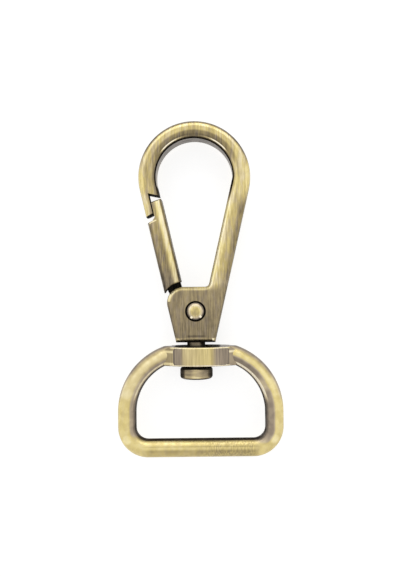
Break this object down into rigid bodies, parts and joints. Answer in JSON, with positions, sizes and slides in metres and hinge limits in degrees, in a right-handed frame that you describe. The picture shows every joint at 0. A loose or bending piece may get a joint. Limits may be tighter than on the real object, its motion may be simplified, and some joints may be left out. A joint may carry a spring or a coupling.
{
  "type": "swivel snap hook",
  "caption": "Flat cast swivel snap hook in brushed antique brass, with a sprung lap-jointed gate and a D-ring for a strap turning on a headed stud",
  "frame": {"origin": "middle of the strap bar's centre line", "axes": "+X along the strap bar, +Y from the strap bar to the top of the bight, +Z out of the hook's face; the hook lies on its back"},
  "size_m": [0.0322, 0.065, 0.0076],
  "materials": {
    "hook_brass": "antique plating, brushed lengthwise, dark in recesses",
    "gate_brass": "antique plating, brushed lengthwise, dark in recesses",
    "spring_steel": "bare drawn spring wire",
    "rivet_brass": "antique plating, polished dome",
    "stud_brass": "antique plating, darkened",
    "ring_brass": "antique plating, satin"
  },
  "bodies": {
    "hook": {"hook_body": "hook_brass", "gate_rivet": "rivet_brass", "swivel_stud": "stud_brass", "gate_spring": "spring_steel"},
    "gate_arm": {"gate": "gate_brass"},
    "ring": {"d_ring": "ring_brass"}
  },
  "joints": [
    {"name": "gate_hinge", "type": "hinge", "parent": "hook", "child": "gate_arm", "pos_m": [-0.00075, 0.02655, 0], "axis": [0, 0, -1], "range_deg": [0, 32.9], "stiffness_Nm_per_rad": 0.0041, "springref_deg": -57.3, "deforming": ["gate_spring"]},
    {"name": "ring_swivel", "type": "hinge", "parent": "hook", "child": "ring", "pos_m": [-0.00075, 0.0179, 0], "axis": [0, 1, 0], "continuous": true}
  ]
}
